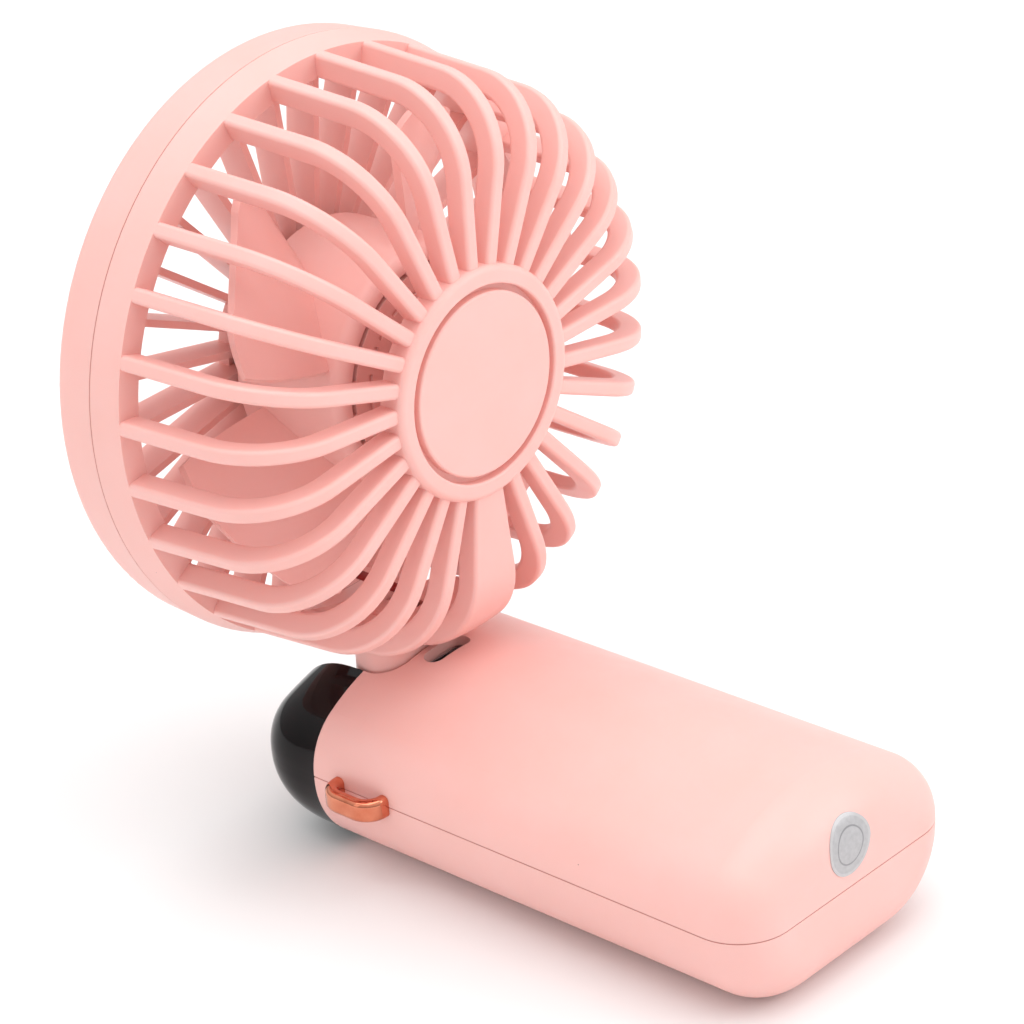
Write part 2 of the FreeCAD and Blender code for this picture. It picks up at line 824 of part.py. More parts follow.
def blade_section(radius, chord, pitch, camber, height):
    """A thin cambered strip across the blade at one distance from the axis."""
    half = chord / 2
    wall = float(size.blade_wall) / 2
    angle = math.radians(pitch)

    def at(along, lift):
        tangent = along * math.cos(angle) - lift * math.sin(angle)
        axial = along * math.sin(angle) + lift * math.cos(angle)
        return Vector(radius, tangent, height + axial)

    lower = Part.Arc(at(-half, -wall), at(0, camber - wall), at(half, -wall)).toShape()
    tip = Part.LineSegment(at(half, -wall), at(half, wall)).toShape()
    upper = Part.Arc(at(half, wall), at(0, camber + wall), at(-half, wall)).toShape()
    tail = Part.LineSegment(at(-half, wall), at(-half, -wall)).toShape()
    return Part.Wire([lower, tip, upper, tail])


def make_blade():
    """One broad petal, twisted, and rounded at its tip."""
    sections = [
        blade_section(17.0, 20.0, 46.0, 1.2, 13.5),
        blade_section(25.0, 27.0, 38.0, 1.8, 13.5),
        blade_section(33.0, 32.0, 31.0, 2.2, 13.2),
        blade_section(42.0, 33.0, 25.0, 2.4, 12.8),
    ]
    strip = Part.makeLoft(sections, True, False)
    sweep = Part.makeCylinder(float(size.impeller_radius), FAR, Vector(0, 0, -FAR / 2))
    petal = Part.makeCylinder(19.6, FAR, Vector(22.0, 0, -FAR / 2))
    return strip.common(sweep).common(petal)


def arc_slot(radius, width, length, z0, z1):
    """A narrow slot that follows a circle about the axis."""
    turn = math.degrees(length / radius)
    face = polygon_face([
        (radius - width / 2, 0, z0),
        (radius + width / 2, 0, z0),
        (radius + width / 2, 0, z1),
        (radius - width / 2, 0, z1),
    ])
    slot = face.revolve(ORIGIN, Z_AXIS, turn)
    slot.rotate(ORIGIN, Z_AXIS, -turn / 2)
    return slot


BLADE_START = 34.0


def make_impeller():
    radius = float(size.impeller_hub_radius)
    front = float(size.impeller_hub_front)
    back = float(size.impeller_hub_back)
    wall = float(size.impeller_wall)
    bell = float(size.bell_radius)
    shaft = float(size.motor_shaft_radius)
    socket_front = float(size.bell_back) + 0.1
    cup = turned_ring([
        (radius - wall, front),
        (radius, front),
        (radius, back),
        (shaft, back),
        (shaft, socket_front),
        (3.2, socket_front),
        (3.2, back - wall),
        (bell, back - wall),
        (bell, front + 1.0),
        (bell + 1.1, front + 1.0),
        (bell + 1.1, back - wall),
        (radius - wall, back - wall),
    ], [((radius, back), 2.4)])
    blades = []
    inner = Part.makeCylinder(radius - wall / 2, FAR, Vector(0, 0, -FAR / 2))
    for blade in turned(make_blade(), BLADE_COUNT, start=BLADE_START):
        blades.append(blade.cut(inner))
    impeller = cup.fuse(blades)
    through = arc_slot(17.6, 0.9, 3.4, back - 3, back + 1)
    shallow = arc_slot(14.0, 0.9, 3.2, back - 0.5, back + 1)
    vents = turned(through, VENT_COUNT) + turned(shallow, VENT_COUNT, start=180.0 / VENT_COUNT)
    impeller = impeller.cut(vents)
    return max(impeller.removeSplitter().Solids, key=lambda solid: solid.Volume)


# ---------------------------------------------------------------- head pieces

def build_head():
    feature("rear_cage", make_rear_cage(), HEAD)
    feature("neck_cover", make_neck_cover(), HEAD)
    feature("neck_screws", make_neck_screws(), HEAD)
    feature("front_grille", make_front_grille(), HEAD)

    disc = new_body("hub_disc", HEAD)
    outline = new_sketch(disc, "disc_outline", level=size.hub_floor_depth)
    draw_circle(outline, size.hub_disc_radius)
    plate = pad(disc, outline, size.hub_disc_wall)
    top = float(size.hub_floor_depth + size.hub_disc_wall)
    round_edges(disc, plate, size.hub_disc_round, lambda edge: level_circle(edge, top))


def build_impeller():
    feature("impeller", make_impeller(), HEAD)

    bell = new_body("rotor_bell", HEAD)
    outline = new_sketch(bell, "bell_outline", "XZ_Plane")
    draw_polygon(outline, [
        (size.magnet_radius, size.bell_front),
        (size.bell_radius, size.bell_front),
        (size.bell_radius, size.bell_back),
        (size.motor_shaft_radius, size.bell_back),
        (size.motor_shaft_radius, size.bell_back - 0.8),
        (size.magnet_radius, size.bell_back - 0.8),
    ])
    revolve(bell, outline)

    magnet = tube("magnet_ring_body", size.magnet_radius, size.magnet_radius - size.magnet_wall,
                  9.0, z=size.bell_front + 0.4)
    magnet.Placement = HEAD
    keep(magnet, "magnet_ring")

    shaft = cylinder("motor_shaft_body", size.motor_shaft_radius, 29.0, z=Length(-5.5, "(-5.5)"))
    moved = group("motor_shaft_group", [shaft])
    moved.Placement = HEAD
    keep(moved, "motor_shaft")


def build_motor():
    board = new_body("motor_board", HEAD)
    outline = new_sketch(board, "board_outline", level=-size.motor_plate_back)
    draw_circle(outline, 14.4)
    draw_circle(outline, size.bearing_tube_radius + 0.2)
    for x, y in motor_screw_spots():
        draw_circle(outline, Length(MOTOR_SCREW_HOLE, f"({MOTOR_SCREW_HOLE})"), x=x, y=y)
    pad(board, outline, 1.0)

    bearing_tube = tube("bearing_tube_body", size.bearing_tube_radius, size.bearing_radius,
                        BEARING_TUBE_BACK - BEARING_TUBE_FRONT, z=BEARING_TUBE_FRONT)
    bearing_tube.Placement = HEAD
    keep(bearing_tube, "bearing_tube")

    rings = []
    for index, front in enumerate((BEARING_TUBE_FRONT + 0.6, BEARING_TUBE_BACK - 2.6)):
        rings.append(tube(f"bearing_{index}", size.bearing_radius,
                          size.motor_shaft_radius + size.motor_shaft_fit,
                          size.bearing_length, z=front))
    bearings = group("motor_bearings_group", rings)
    bearings.Placement = HEAD
    keep(bearings, "motor_bearings")

    feature("motor_screws", make_motor_screws(), HEAD)
    feature("stator_core", make_stator(), HEAD)
    feature("motor_coils", make_coils(), HEAD)
    feature("motor_leads", make_motor_leads(), HEAD)


def make_motor_screws():
    """Four small pan-head screws through the motor board into the plate."""
    board_back = 1.0 - float(size.motor_plate_back)
    screws = []
    for x, y in motor_screw_spots():
        under = Vector(x, y, board_back)
        head = rod(0.9, under, under + Vector(0, 0, 0.65))
        shank = rod(MOTOR_SCREW_HOLE - 0.05, under - Vector(0, 0, 2.6), under)
        screws.append(head.fuse(shank).removeSplitter())
    return Part.makeCompound(screws)


def make_stator():
    front = float(size.stator_front)
    back = float(size.stator_back)
    radius = float(size.stator_radius)
    core = ring(5.2, float(size.bearing_tube_radius), front, back)
    tooth = block(4.6, radius - 0.6, -1.1, 1.1, front, back)
    shoe = ring(radius, radius - 1.0, front, back)
    gap = block(0, FAR, -0.8, 0.8, front - 1, back + 1)
    shoe = shoe.cut(turned(gap, TOOTH_COUNT, start=180.0 / TOOTH_COUNT))
    return core.fuse(turned(tooth, TOOTH_COUNT) + [shoe]).removeSplitter()


def make_coils():
    front = float(size.stator_front)
    back = float(size.stator_back)
    coil = block(5.6, 9.0, -2.4, 2.4, front - 1.3, back + 1.3)
    long_edges = [edge for edge in coil.Edges if edge.BoundBox.XLength > 3]
    coil = coil.makeFillet(1.0, long_edges)
    coil = coil.cut(block(0, FAR, -1.1, 1.1, front, back))
    return Part.makeCompound(turned(coil, TOOTH_COUNT))


def make_motor_leads():
    """Leads from the motor board down the lowest vane and into the neck."""
    near_blades = 42.4
    behind_vane = -0.9
    route = [
        Vector(0, 13.9, -2.3),
        Vector(0, 17.8, behind_vane),
        Vector(0, near_blades, behind_vane),
        Vector(0, near_blades, HINGE_SETBACK),
        Vector(0, 62.4, HINGE_SETBACK),
    ]
    return pipe(route, (3.0, 4.0, 4.0), 0.8)


# ---------------------------------------------------------------- hinge pieces

ALONG_X = Rotation(Vector(0, 1, 0), 90)


def build_hinge():
    length = size.shaft_half_length * 2
    shaft = tube("hinge_shaft_body", size.shaft_radius, size.shaft_bore, length,
                 -size.shaft_half_length, size.hinge_y, size.handle_half_height, ALONG_X)
    keep(shaft, "hinge_shaft")

    washer_start = size.barrel_half_length + 0.1
    ear_start = size.slot_half_width + size.cheek_wall + 0.2
    washers = []
    clips = []
    for name, side in (("left", -1), ("right", 1)):
        thick = ear_start - washer_start
        x = washer_start if side > 0 else -ear_start
        washers.append(tube(f"washer_{name}", size.washer_radius, size.shaft_radius + size.shaft_fit,
                            thick, x, size.hinge_y, size.handle_half_height, ALONG_X))
        clip_start = ear_start + size.ear_wall
        x = clip_start if side > 0 else -(clip_start + 0.6)
        clips.append(tube(f"clip_{name}", size.shaft_radius + 1.6, size.shaft_radius, 0.6,
                          x, size.hinge_y, size.handle_half_height, ALONG_X))
    keep(group("washer_group", washers), "friction_washers")
    keep(group("clip_group", clips), "shaft_clips")

    feature("hinge_ears", make_ears())
    feature("hinge_cradle", make_cradle())
    feature("ear_screws", make_ear_screws())


def make_ears():
    """Steel ears that hold the shaft, each with a screwed foot."""
    start = float(size.slot_half_width + size.cheek_wall) + 0.2
    wall = float(size.ear_wall)
    radius = float(size.ear_radius)
    ears = []
    for side in (-1, 1):
        x0, x1 = sorted((side * start, side * (start + wall)))
        inner = Vector(x0, SEAM_Y, PARTING)
        disc = rod(radius, inner, inner + Vector(wall, 0, 0))
        stem = block(x0, x1, SEAM_Y - 2.0, SEAM_Y + radius, EAR_FOOT_Z, PARTING)
        foot_x = sorted((side * start, side * (start + EAR_FOOT_LENGTH)))
        foot = block(foot_x[0], foot_x[1], SEAM_Y - 2.0, EAR_SCREW_Y + 2.2, EAR_FOOT_Z, EAR_FOOT_Z + 1.2)
        ear = disc.fuse([stem, foot])
        span = Vector(FAR, 0, 0)
        ear = ear.cut(rod(float(size.shaft_radius), HINGE - span, HINGE + span))
        hole = Vector(side * EAR_SCREW_X, EAR_SCREW_Y, 0)
        ear = ear.cut(rod(0.9, hole, hole + Vector(0, 0, 12)))
        ears.append(ear.removeSplitter())
    return Part.makeCompound(ears)


def make_ear_screws():
    screws = []
    for side in (-1, 1):
        seat = Vector(side * EAR_SCREW_X, EAR_SCREW_Y, EAR_FOOT_Z + 1.2)
        screws.append(make_screw(seat))
    return Part.makeCompound(screws)


def make_screw(seat, way=1):
    """A small pan-head screw whose head rests on seat."""
    up = Vector(0, 0, way)
    head = rod(1.5, seat, seat + up * 0.9)
    shank = rod(0.7, seat - up * 2.6, seat)
    slot = block(-1.1, 1.1, -0.2, 0.2, -0.3, 0.3)
    slot.translate(seat + up * 0.9)
    return head.fuse(shank).cut(slot).removeSplitter()


def make_cradle():
    """Curved wall round the back and bottom of the barrel, closing the slot."""
    inner = float(size.barrel_radius + size.cradle_gap)
    outer = inner + float(size.cradle_wall)
    half = float(size.slot_half_width) - 0.1
    opening = 48.0
    face = polygon_face([
        (0, 0, inner), (0, 0, outer), (half * 2, 0, outer), (half * 2, 0, inner),
    ])
    wall = face.revolve(ORIGIN, X_AXIS, -(270.0 - 2 * opening))
    wall.rotate(ORIGIN, X_AXIS, -opening)
    wall.translate(HINGE - Vector(half, 0, 0))
    top = HANDLE_TOP - WALL - 0.3
    upright = block(-half, half, SLOT_END_Y + 0.05, SLOT_END_Y + 0.85, PARTING + 5.3, top)
    cradle = wall.fuse(upright)
    inside = handle_solid(WALL + 0.1, SEAM_Y - 20)
    return cradle.common(inside).removeSplitter()


# ---------------------------------------------------------------- handle pieces

def build_handle():
    back, front = make_shells()
    feature("back_shell", back)
    feature("front_shell", front)
    feature("nose_cap", make_nose())
    feature("lanyard_loop", make_loop())
    feature("inspection_sticker", make_sticker())


LOOP_ROUND = 4.2


def make_loop():
    """Rounded bar bent into a flat C, with both ends let into the side."""
    front = float(size.loop_front_y)
    back = float(size.loop_back_y)
    wall = float(size.loop_wall)
    height = float(size.loop_height)
    root = float(size.handle_half_width) - 1.4
    out = float(size.handle_half_width + size.loop_reach)
    plan = block(root, out, front, back, 0, height)
    upright = [e for e in plan.Edges if e.BoundBox.ZLength > 1 and e.BoundBox.XMin > root + 1]
    plan = plan.makeFillet(LOOP_ROUND, upright)
    void = block(root - 1, out - wall, front + wall, back - wall, 0, height)
    upright = [e for e in void.Edges if e.BoundBox.ZLength > 1 and e.BoundBox.XMin > root + 1]
    void = void.makeFillet(LOOP_ROUND - wall, upright)
    bar = plan.cut(void)
    bar.translate(Vector(0, 0, PARTING - height / 2))
    outside = [
        edge for edge in bar.Edges
        if edge.BoundBox.ZLength < 1e-4 and edge.BoundBox.XMax > root + 0.5
    ]
    return bar.makeFillet(1.0, outside)


STICKER_X = 1.6
STICKER_Z = 23.2


def make_sticker():
    """Thin round label wrapped on the rounded end of the handle."""
    skin = handle_solid(-float(size.sticker_wall), 30.0).cut(handle_solid(0, 20.0))
    spot = Vector(STICKER_X, 40.0, STICKER_Z)
    return skin.common(rod(float(size.sticker_radius), spot, spot + Vector(0, 30, 0)))


def build_power():
    for name, side in (("left", -1), ("right", 1)):
        cell = cylinder(f"cell_{name}", size.cell_radius, size.cell_length,
                        size.cell_spacing * (side * 0.5), size.cell_front_y,
                        size.handle_half_height, Rotation(X_AXIS, -90))
        keep(cell, f"battery_cell_{name}")
    feature("battery_tray", make_tray())
    feature("cell_straps", make_straps())


TRAY_TOP = 13.0
TRAY_WALL = 1.1
SADDLE_WALL = 2.0


def make_tray():
    """Thin trough under both cells, on three saddles in the front shell."""
    front = float(size.cell_front_y) + 2
    back = front + float(size.cell_length) - 4
    radius = float(size.cell_radius) + 0.05
    run = Vector(0, back - front, 0)
    axes = [Vector(side * float(size.cell_spacing) / 2, front, PARTING) for side in (-1, 1)]
    trough = rod(radius + TRAY_WALL, axes[0], axes[0] + run)
    trough = trough.fuse(rod(radius + TRAY_WALL, axes[1], axes[1] + run))
    cavity = handle_solid(WALL + 0.1, SEAM_Y)
    for y in (front, (front + back - SADDLE_WALL) / 2, back - SADDLE_WALL):
        saddle = block(-22, 22, y, y + SADDLE_WALL, 0, TRAY_TOP).common(cavity)
        trough = trough.fuse(saddle)
    for axis in axes:
        trough = trough.cut(rod(radius, axis - Vector(0, 5, 0), axis + Vector(0, FAR, 0)))
    trough = trough.common(block(-FAR, FAR, -FAR, FAR, 0, TRAY_TOP))
    return trough.common(cavity).removeSplitter()


def make_straps():
    """Nickel strips across both ends of the cells."""
    front = float(size.cell_front_y)
    back = front + float(size.cell_length)
    reach = float(size.cell_spacing) / 2 + 4
    strips = [
        block(-reach, reach, front - 0.2, front, PARTING - 3, PARTING + 3),
        block(-reach, -1.5, back, back + 0.2, PARTING - 3, PARTING + 3),
        block(1.5, reach, back, back + 0.2, PARTING - 3, PARTING + 3),
    ]
    return Part.makeCompound(strips)


def build_electronics():
    board = new_body("main_board")
    outline = new_sketch(board, "board_outline", level=size.board_top - size.board_wall)
    draw_rectangle(outline, 34.0, 11.6, 0, -20.2)
    slab = pad(board, outline, size.board_wall)
    doc.recompute()
    holes = new_sketch(board, "post_holes", level=size.board_top)
    for side in (-1, 1):
        draw_circle(holes, 0.9, side * BOARD_POST_X, BOARD_POST_Y)
    pocket(board, holes, size.board_wall)
    doc.recompute()
    assert board.Shape.Volume < slab.Shape.Volume

    feature("board_parts", make_board_parts())
    feature("board_screws", make_board_screws())
    feature("usb_c_port", make_port_shell())
    feature("usb_c_tongue", make_port_tongue())

    lights = new_body("light_board")
    outline = new_sketch(lights, "light_board_outline", level=LIGHT_BOARD_Z)
    draw_rectangle(outline, 22.0, 4.0, 0, size.hinge_y - LIGHT_BOARD_FRONT)
    pad(lights, outline, 0.8)
    feature("charge_lights", make_charge_lights())

    switch_board = new_body("button_board")
    outline = new_sketch(switch_board, "button_board_outline", level=SWITCH_TOP)
    draw_rectangle(outline, 19.0, 11.0, 0, size.button_y)
    pad(switch_board, outline, 1.0)
    feature("button_switch", make_switch())

    button = new_body("power_button")
    outline = new_sketch(button, "button_outline", "XZ_Plane")
    draw_polygon(outline, [
        (0, BUTTON_FACE),
        (size.button_radius - 0.5, BUTTON_FACE),
        (size.button_radius, BUTTON_FACE + 0.5),
        (size.button_radius, size.shell_wall + size.button_gap),
        (size.button_radius + 1.1, size.shell_wall + size.button_gap),
        (size.button_radius + 1.1, size.shell_wall + size.button_gap + 0.7),
        (1.5, size.shell_wall + size.button_gap + 0.7),
        (1.5, SWITCH_BOTTOM - 0.8),
        (0, SWITCH_BOTTOM - 0.8),
    ])
    revolve(button, outline)
    bind(button, "Placement.Base.y", size.button_y)
    feature("power_leads", make_power_leads())


def make_switch():
    y = float(size.button_y)
    body = block(-2.6, 2.6, y - 2.6, y + 2.6, SWITCH_BOTTOM + 0.6, SWITCH_TOP)
    return body.fuse(Part.makeCylinder(1.3, 0.7, Vector(0, y, SWITCH_BOTTOM)))


def make_board_parts():
    """Coil, chips and capacitors under the main board."""
    under = float(size.board_top - size.board_wall)
    parts = [
        block(-12.0, -6.0, -22.6, -16.8, under - 3.0, under),
        block(-3.6, 0.6, -21.6, -17.4, under - 0.9, under),
        block(3.2, 7.2, -21.8, -17.8, under - 1.0, under),
        block(8.6, 10.8, -22.8, -20.6, under - 0.8, under),
        block(-3.0, -1.2, -24.4, -23.2, under - 0.6, under),
        block(9.0, 12.0, -25.4, -23.6, under - 1.6, under),
    ]
    return Part.makeCompound(parts)


def make_board_screws():
    under = float(size.board_top - size.board_wall)
    screws = []
    for side in (-1, 1):
        seat = Vector(side * BOARD_POST_X, BOARD_POST_Y, under)
        screws.append(make_screw(seat, -1))
    return Part.makeCompound(screws)


def make_port_shell():
    """Steel shell of the charging port, open at the top."""
    foot = float(size.board_top)
    top = float(size.port_top)
    length = float(size.port_length)
    width = float(size.port_width)
    shell = obround(length, width, foot, top)
    shell = shell.cut(obround(length - 0.6, width - 0.6, foot + 0.4, top + 1))
    return at_port(shell.removeSplitter())


def make_port_tongue():
    foot = float(size.board_top) + 0.4
    tongue = block(-3.35, 3.35, -0.35, 0.35, foot, float(size.port_top) - 0.7)
    base = obround(float(size.port_length) - 0.7, float(size.port_width) - 0.7, foot, foot + 1.5)
    return at_port(tongue.fuse(base).removeSplitter())


def make_charge_lights():
    lights = []
    for index in range(4):
        x = (index - 1.5) * 4.6
        y = SEAM_Y - LIGHT_BOARD_FRONT
        lights.append(block(x - 0.8, x + 0.8, y - 0.5, y + 0.5, LIGHT_BOARD_Z - 0.6, LIGHT_BOARD_Z))
    return Part.makeCompound(lights)


def make_power_leads():
    """Leads from the hollow shaft to the main board."""
    end_x = float(size.shaft_half_length)
    route = [
        Vector(end_x - 2.2, SEAM_Y, PARTING),
        Vector(end_x + 1.6, SEAM_Y, PARTING),
        Vector(end_x + 1.2, SEAM_Y + 6.6, PARTING + 3.2),
        Vector(14.6, -23.6, float(size.board_top - size.board_wall) - 0.75),
    ]
    return pipe(route, (1.6, 3.0), 0.7)


build_head()
build_impeller()
build_motor()
build_hinge()
build_handle()
build_power()
build_electronics()

# ---------------------------------------------------------------- checks, export

doc.recompute()
failed = [thing.Name for thing in doc.Objects if {"Invalid", "Error"} & set(thing.State)]
assert not failed, failed
for node in nodes:
    shape = node.Shape
    assert not shape.isNull() and shape.isValid(), node.Label
    assert shape.Solids and shape.Volume > 0, node.Label
for node in nodes:
    node.Shape.exportStep(f"parts/{node.Label}.step")
    solids = len(node.Shape.Solids)
    bounds = node.Shape.BoundBox
    print(f"{node.Label:22s} solids {solids:2d} volume {node.Shape.Volume:9.1f} "
          f"x {bounds.XMin:6.1f} {bounds.XMax:6.1f} y {bounds.YMin:6.1f} {bounds.YMax:6.1f} "
          f"z {bounds.ZMin:6.1f} {bounds.ZMax:6.1f}")
print(len(nodes), "pieces")
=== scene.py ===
import json
import math

import bpy
from mathutils import Matrix, Vector


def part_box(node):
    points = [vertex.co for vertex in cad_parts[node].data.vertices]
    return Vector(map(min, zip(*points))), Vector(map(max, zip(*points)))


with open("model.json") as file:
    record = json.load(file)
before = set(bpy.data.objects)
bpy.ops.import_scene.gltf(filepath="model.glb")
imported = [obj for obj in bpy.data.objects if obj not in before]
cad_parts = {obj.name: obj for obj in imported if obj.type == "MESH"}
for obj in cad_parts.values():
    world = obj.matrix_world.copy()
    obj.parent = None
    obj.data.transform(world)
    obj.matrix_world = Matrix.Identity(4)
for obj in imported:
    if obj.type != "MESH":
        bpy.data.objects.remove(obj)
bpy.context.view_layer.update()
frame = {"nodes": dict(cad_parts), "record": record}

# Electric hand fan with a folding head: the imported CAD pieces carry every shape,
# and this script gives them their materials, a studio and the camera. Metres,
# +Z up. The fan stands on the flat front face of its handle and blows towards -Y.

MM = 0.001


def linear(red, green, blue):
    """A display colour (0 to 255) as the linear colour that a shader needs."""
    def channel(value):
        value /= 255
        return value / 12.92 if value <= 0.04045 else ((value + 0.055) / 1.055) ** 2.4
    return (channel(red), channel(green), channel(blue), 1.0)


# ---------------------------------------------------------------- node helpers

# Sockets of the colour form of the Mix node, which share their names with others.
MIX_FIRST = 6
MIX_SECOND = 7
MIX_RESULT = 2

# Noise seldom leaves this range, so it is what gets stretched over 0 to 1.
NOISE_LOW = 0.3
NOISE_HIGH = 0.7


class Shader:
    """A material under construction: one Principled shader and its nodes."""

    def __init__(self, name):
        self.material = bpy.data.materials.new(name)
        self.material.use_nodes = True
        self.nodes = self.material.node_tree.nodes
        self.links = self.material.node_tree.links
        self.shader = next(n for n in self.nodes if n.type == "BSDF_PRINCIPLED")
        self.place = self.node("ShaderNodeTexCoord").outputs["Object"]

    def node(self, kind, **settings):
        made = self.nodes.new(kind)
        for name, value in settings.items():
            setattr(made, name, value)
        return made

    def put(self, socket, value):
        """Sets a socket to a number or colour, or links it to an output."""
        if isinstance(value, bpy.types.NodeSocket):
            self.links.new(value, socket)
        else:
            socket.default_value = value

    def set(self, **values):
        """Sets the shader's own sockets; underscores stand for spaces."""
        for name, value in values.items():
            self.put(self.shader.inputs[name.replace("_", " ")], value)
        return self

    def noise(self, size, detail=3.0, roughness=0.5, place=None):
        """Cloudy values from 0 to 1 whose lumps are about size metres across."""
        made = self.node("ShaderNodeTexNoise")
        made.inputs["Scale"].default_value = 1.0 / size
        made.inputs["Detail"].default_value = detail
        made.inputs["Roughness"].default_value = roughness
        self.links.new(place or self.place, made.inputs["Vector"])
        return made.outputs["Fac"]

    def stretched(self, x, y, z):
        """Object coordinates scaled on each axis, for brushed or wound looks."""
        made = self.node("ShaderNodeMapping")
        made.inputs["Scale"].default_value = (x, y, z)
        self.links.new(self.place, made.inputs["Vector"])
        return made.outputs["Vector"]

    def remap(self, value, low, high, from_low=NOISE_LOW, from_high=NOISE_HIGH):
        """Stretches a range of values, by default the usual noise, to low and high."""
        made = self.node("ShaderNodeMapRange")
        self.put(made.inputs["Value"], value)
        made.inputs["From Min"].default_value = from_low
        made.inputs["From Max"].default_value = from_high
        made.inputs["To Min"].default_value = low
        made.inputs["To Max"].default_value = high
        return made.outputs["Result"]

    def math(self, operation, first, second=0.0):
        made = self.node("ShaderNodeMath", operation=operation)
        self.put(made.inputs[0], first)
        self.put(made.inputs[1], second)
        return made.outputs["Value"]

    def mix(self, factor, first, second):
        made = self.node("ShaderNodeMix", data_type="RGBA")
        self.put(made.inputs["Factor"], factor)
        self.put(made.inputs[MIX_FIRST], first)
        self.put(made.inputs[MIX_SECOND], second)
        return made.outputs[MIX_RESULT]

    def near(self, value, target, reach):
        """1 where value is within reach of target, and 0 elsewhere."""
        made = self.math("COMPARE", value, target)
        made.node.inputs[2].default_value = reach
        return made

    def split(self):
        """The object coordinates as separate X, Y and Z outputs."""
        made = self.node("ShaderNodeSeparateXYZ")
        self.links.new(self.place, made.inputs["Vector"])
        return made.outputs

    def bump(self, height, depth, strength=1.0):
        made = self.node("ShaderNodeBump")
        made.inputs["Strength"].default_value = strength
        made.inputs["Distance"].default_value = depth
        self.links.new(height, made.inputs["Height"])
        self.links.new(made.outputs["Normal"], self.shader.inputs["Normal"])
        return self

    def rough(self, low, high, size, place=None):
        """Roughness that wanders between two values."""
        return self.set(Roughness=self.remap(self.noise(size, place=place), low, high))

    def tinted(self, light, dark, size, place=None):
        """A base colour that drifts between two near colours."""
        shade = self.remap(self.noise(size, place=place), 0.0, 1.0)
        return self.set(Base_Color=self.mix(shade, dark, light))


# ---------------------------------------------------------------- materials

CLOUD_SIZE = 14 * MM
CLOUD_LOW = 0.35
CLOUD_HIGH = 0.65
SPECK_SPACING = 9 * MM
SPECK_RADIUS = 0.012
SPECK_RARITY = 0.62
SPECK_SHARE = 0.55
SPECK_SHADE = linear(120, 70, 60)
SEAM_SHADE = linear(176, 88, 76)
SEAM_SHARE = 0.6
SEAM_HALF_WIDTH = 0.1 * MM


def moulded_pink(name, light, dark, axis, level):
    """Satin moulded plastic: fine spark-eroded grain, faint clouding, specks.

    A hairline of shade follows the parting plane at level along axis.
    """
    look = Shader(name)
    cloud = look.noise(CLOUD_SIZE, detail=4.0)
    cloud = look.remap(cloud, 0.0, 1.0, CLOUD_LOW, CLOUD_HIGH)
    tone = look.mix(cloud, dark, light)
    cells = look.node("ShaderNodeTexVoronoi", feature="F1")
    cells.inputs["Scale"].default_value = 1.0 / SPECK_SPACING
    look.links.new(look.place, cells.inputs["Vector"])
    speck = look.math("LESS_THAN", cells.outputs["Distance"], SPECK_RADIUS)
    rare = look.math("GREATER_THAN", cells.outputs["Color"], SPECK_RARITY)
    dust = look.math("MULTIPLY", look.math("MULTIPLY", speck, rare), SPECK_SHARE)
    seam = look.near(look.split()[axis], level, SEAM_HALF_WIDTH)
    tone = look.mix(look.math("MULTIPLY", seam, SEAM_SHARE), tone, SEAM_SHADE)
    look.set(Base_Color=look.mix(dust, tone, SPECK_SHADE))
    look.rough(low=0.36, high=0.46, size=5 * MM)
    look.set(IOR=1.49, Subsurface_Weight=0.14, Subsurface_Scale=1.6 * MM,
             Subsurface_Radius=(1.0, 0.42, 0.30))
    grain = look.noise(0.22 * MM, detail=2.0, roughness=0.6)
    return look.bump(grain, depth=0.006 * MM, strength=0.35).material


def gloss_black():
    """Polished black plastic with a lacquer-like surface and faint wipe marks."""
    look = Shader("gloss_black")
    look.tinted(light=linear(24, 17, 18), dark=linear(13, 10, 11), size=8 * MM)
    wipes = look.stretched(1.0, 5.0, 1.0)
    look.rough(low=0.05, high=0.13, size=6 * MM, place=wipes)
    look.set(IOR=1.5, Specular_IOR_Level=0.14, Coat_Weight=0.06, Coat_Roughness=0.04)
    waves = look.noise(3 * MM, detail=1.0)
    return look.bump(waves, depth=0.01 * MM, strength=0.2).material


# Brushed lines are this many times finer across than along, and the darker
# ones keep this share of the metal's display colour.
BRUSHING = 14.0
LINE_SHADE = 0.86


def rose_gold():
    """Plated and polished metal, with polishing hairlines along the bar."""
    look = Shader("rose_gold")
    look.set(Metallic=1.0)
    look.tinted(light=linear(226, 146, 116), dark=linear(204, 116, 88), size=3 * MM)
    hairlines = look.stretched(1.0, 1.0, BRUSHING)
    look.rough(low=0.03, high=0.09, size=1.2 * MM, place=hairlines)
    scratches = look.noise(0.9 * MM, detail=2.0, place=hairlines)
    return look.bump(scratches, depth=0.01 * MM, strength=0.25).material


def brushed_steel(name, tone, low=0.22, high=0.38, along=(1.0, BRUSHING, BRUSHING)):
    """Bare metal with fine lines that run along the axis scaled by 1."""
    look = Shader(name)
    look.set(Metallic=1.0)
    lines = look.stretched(*along)
    shade = [int(channel * LINE_SHADE) for channel in tone]
    look.tinted(light=linear(*tone), dark=linear(*shade), size=2 * MM, place=lines)
    look.rough(low, high, size=1.5 * MM, place=lines)
    scratches = look.noise(0.6 * MM, place=lines)
    return look.bump(scratches, depth=0.006 * MM, strength=0.4).material


WIRE_PITCH = 1.1 * MM
WIRE_WANDER = 3 * MM


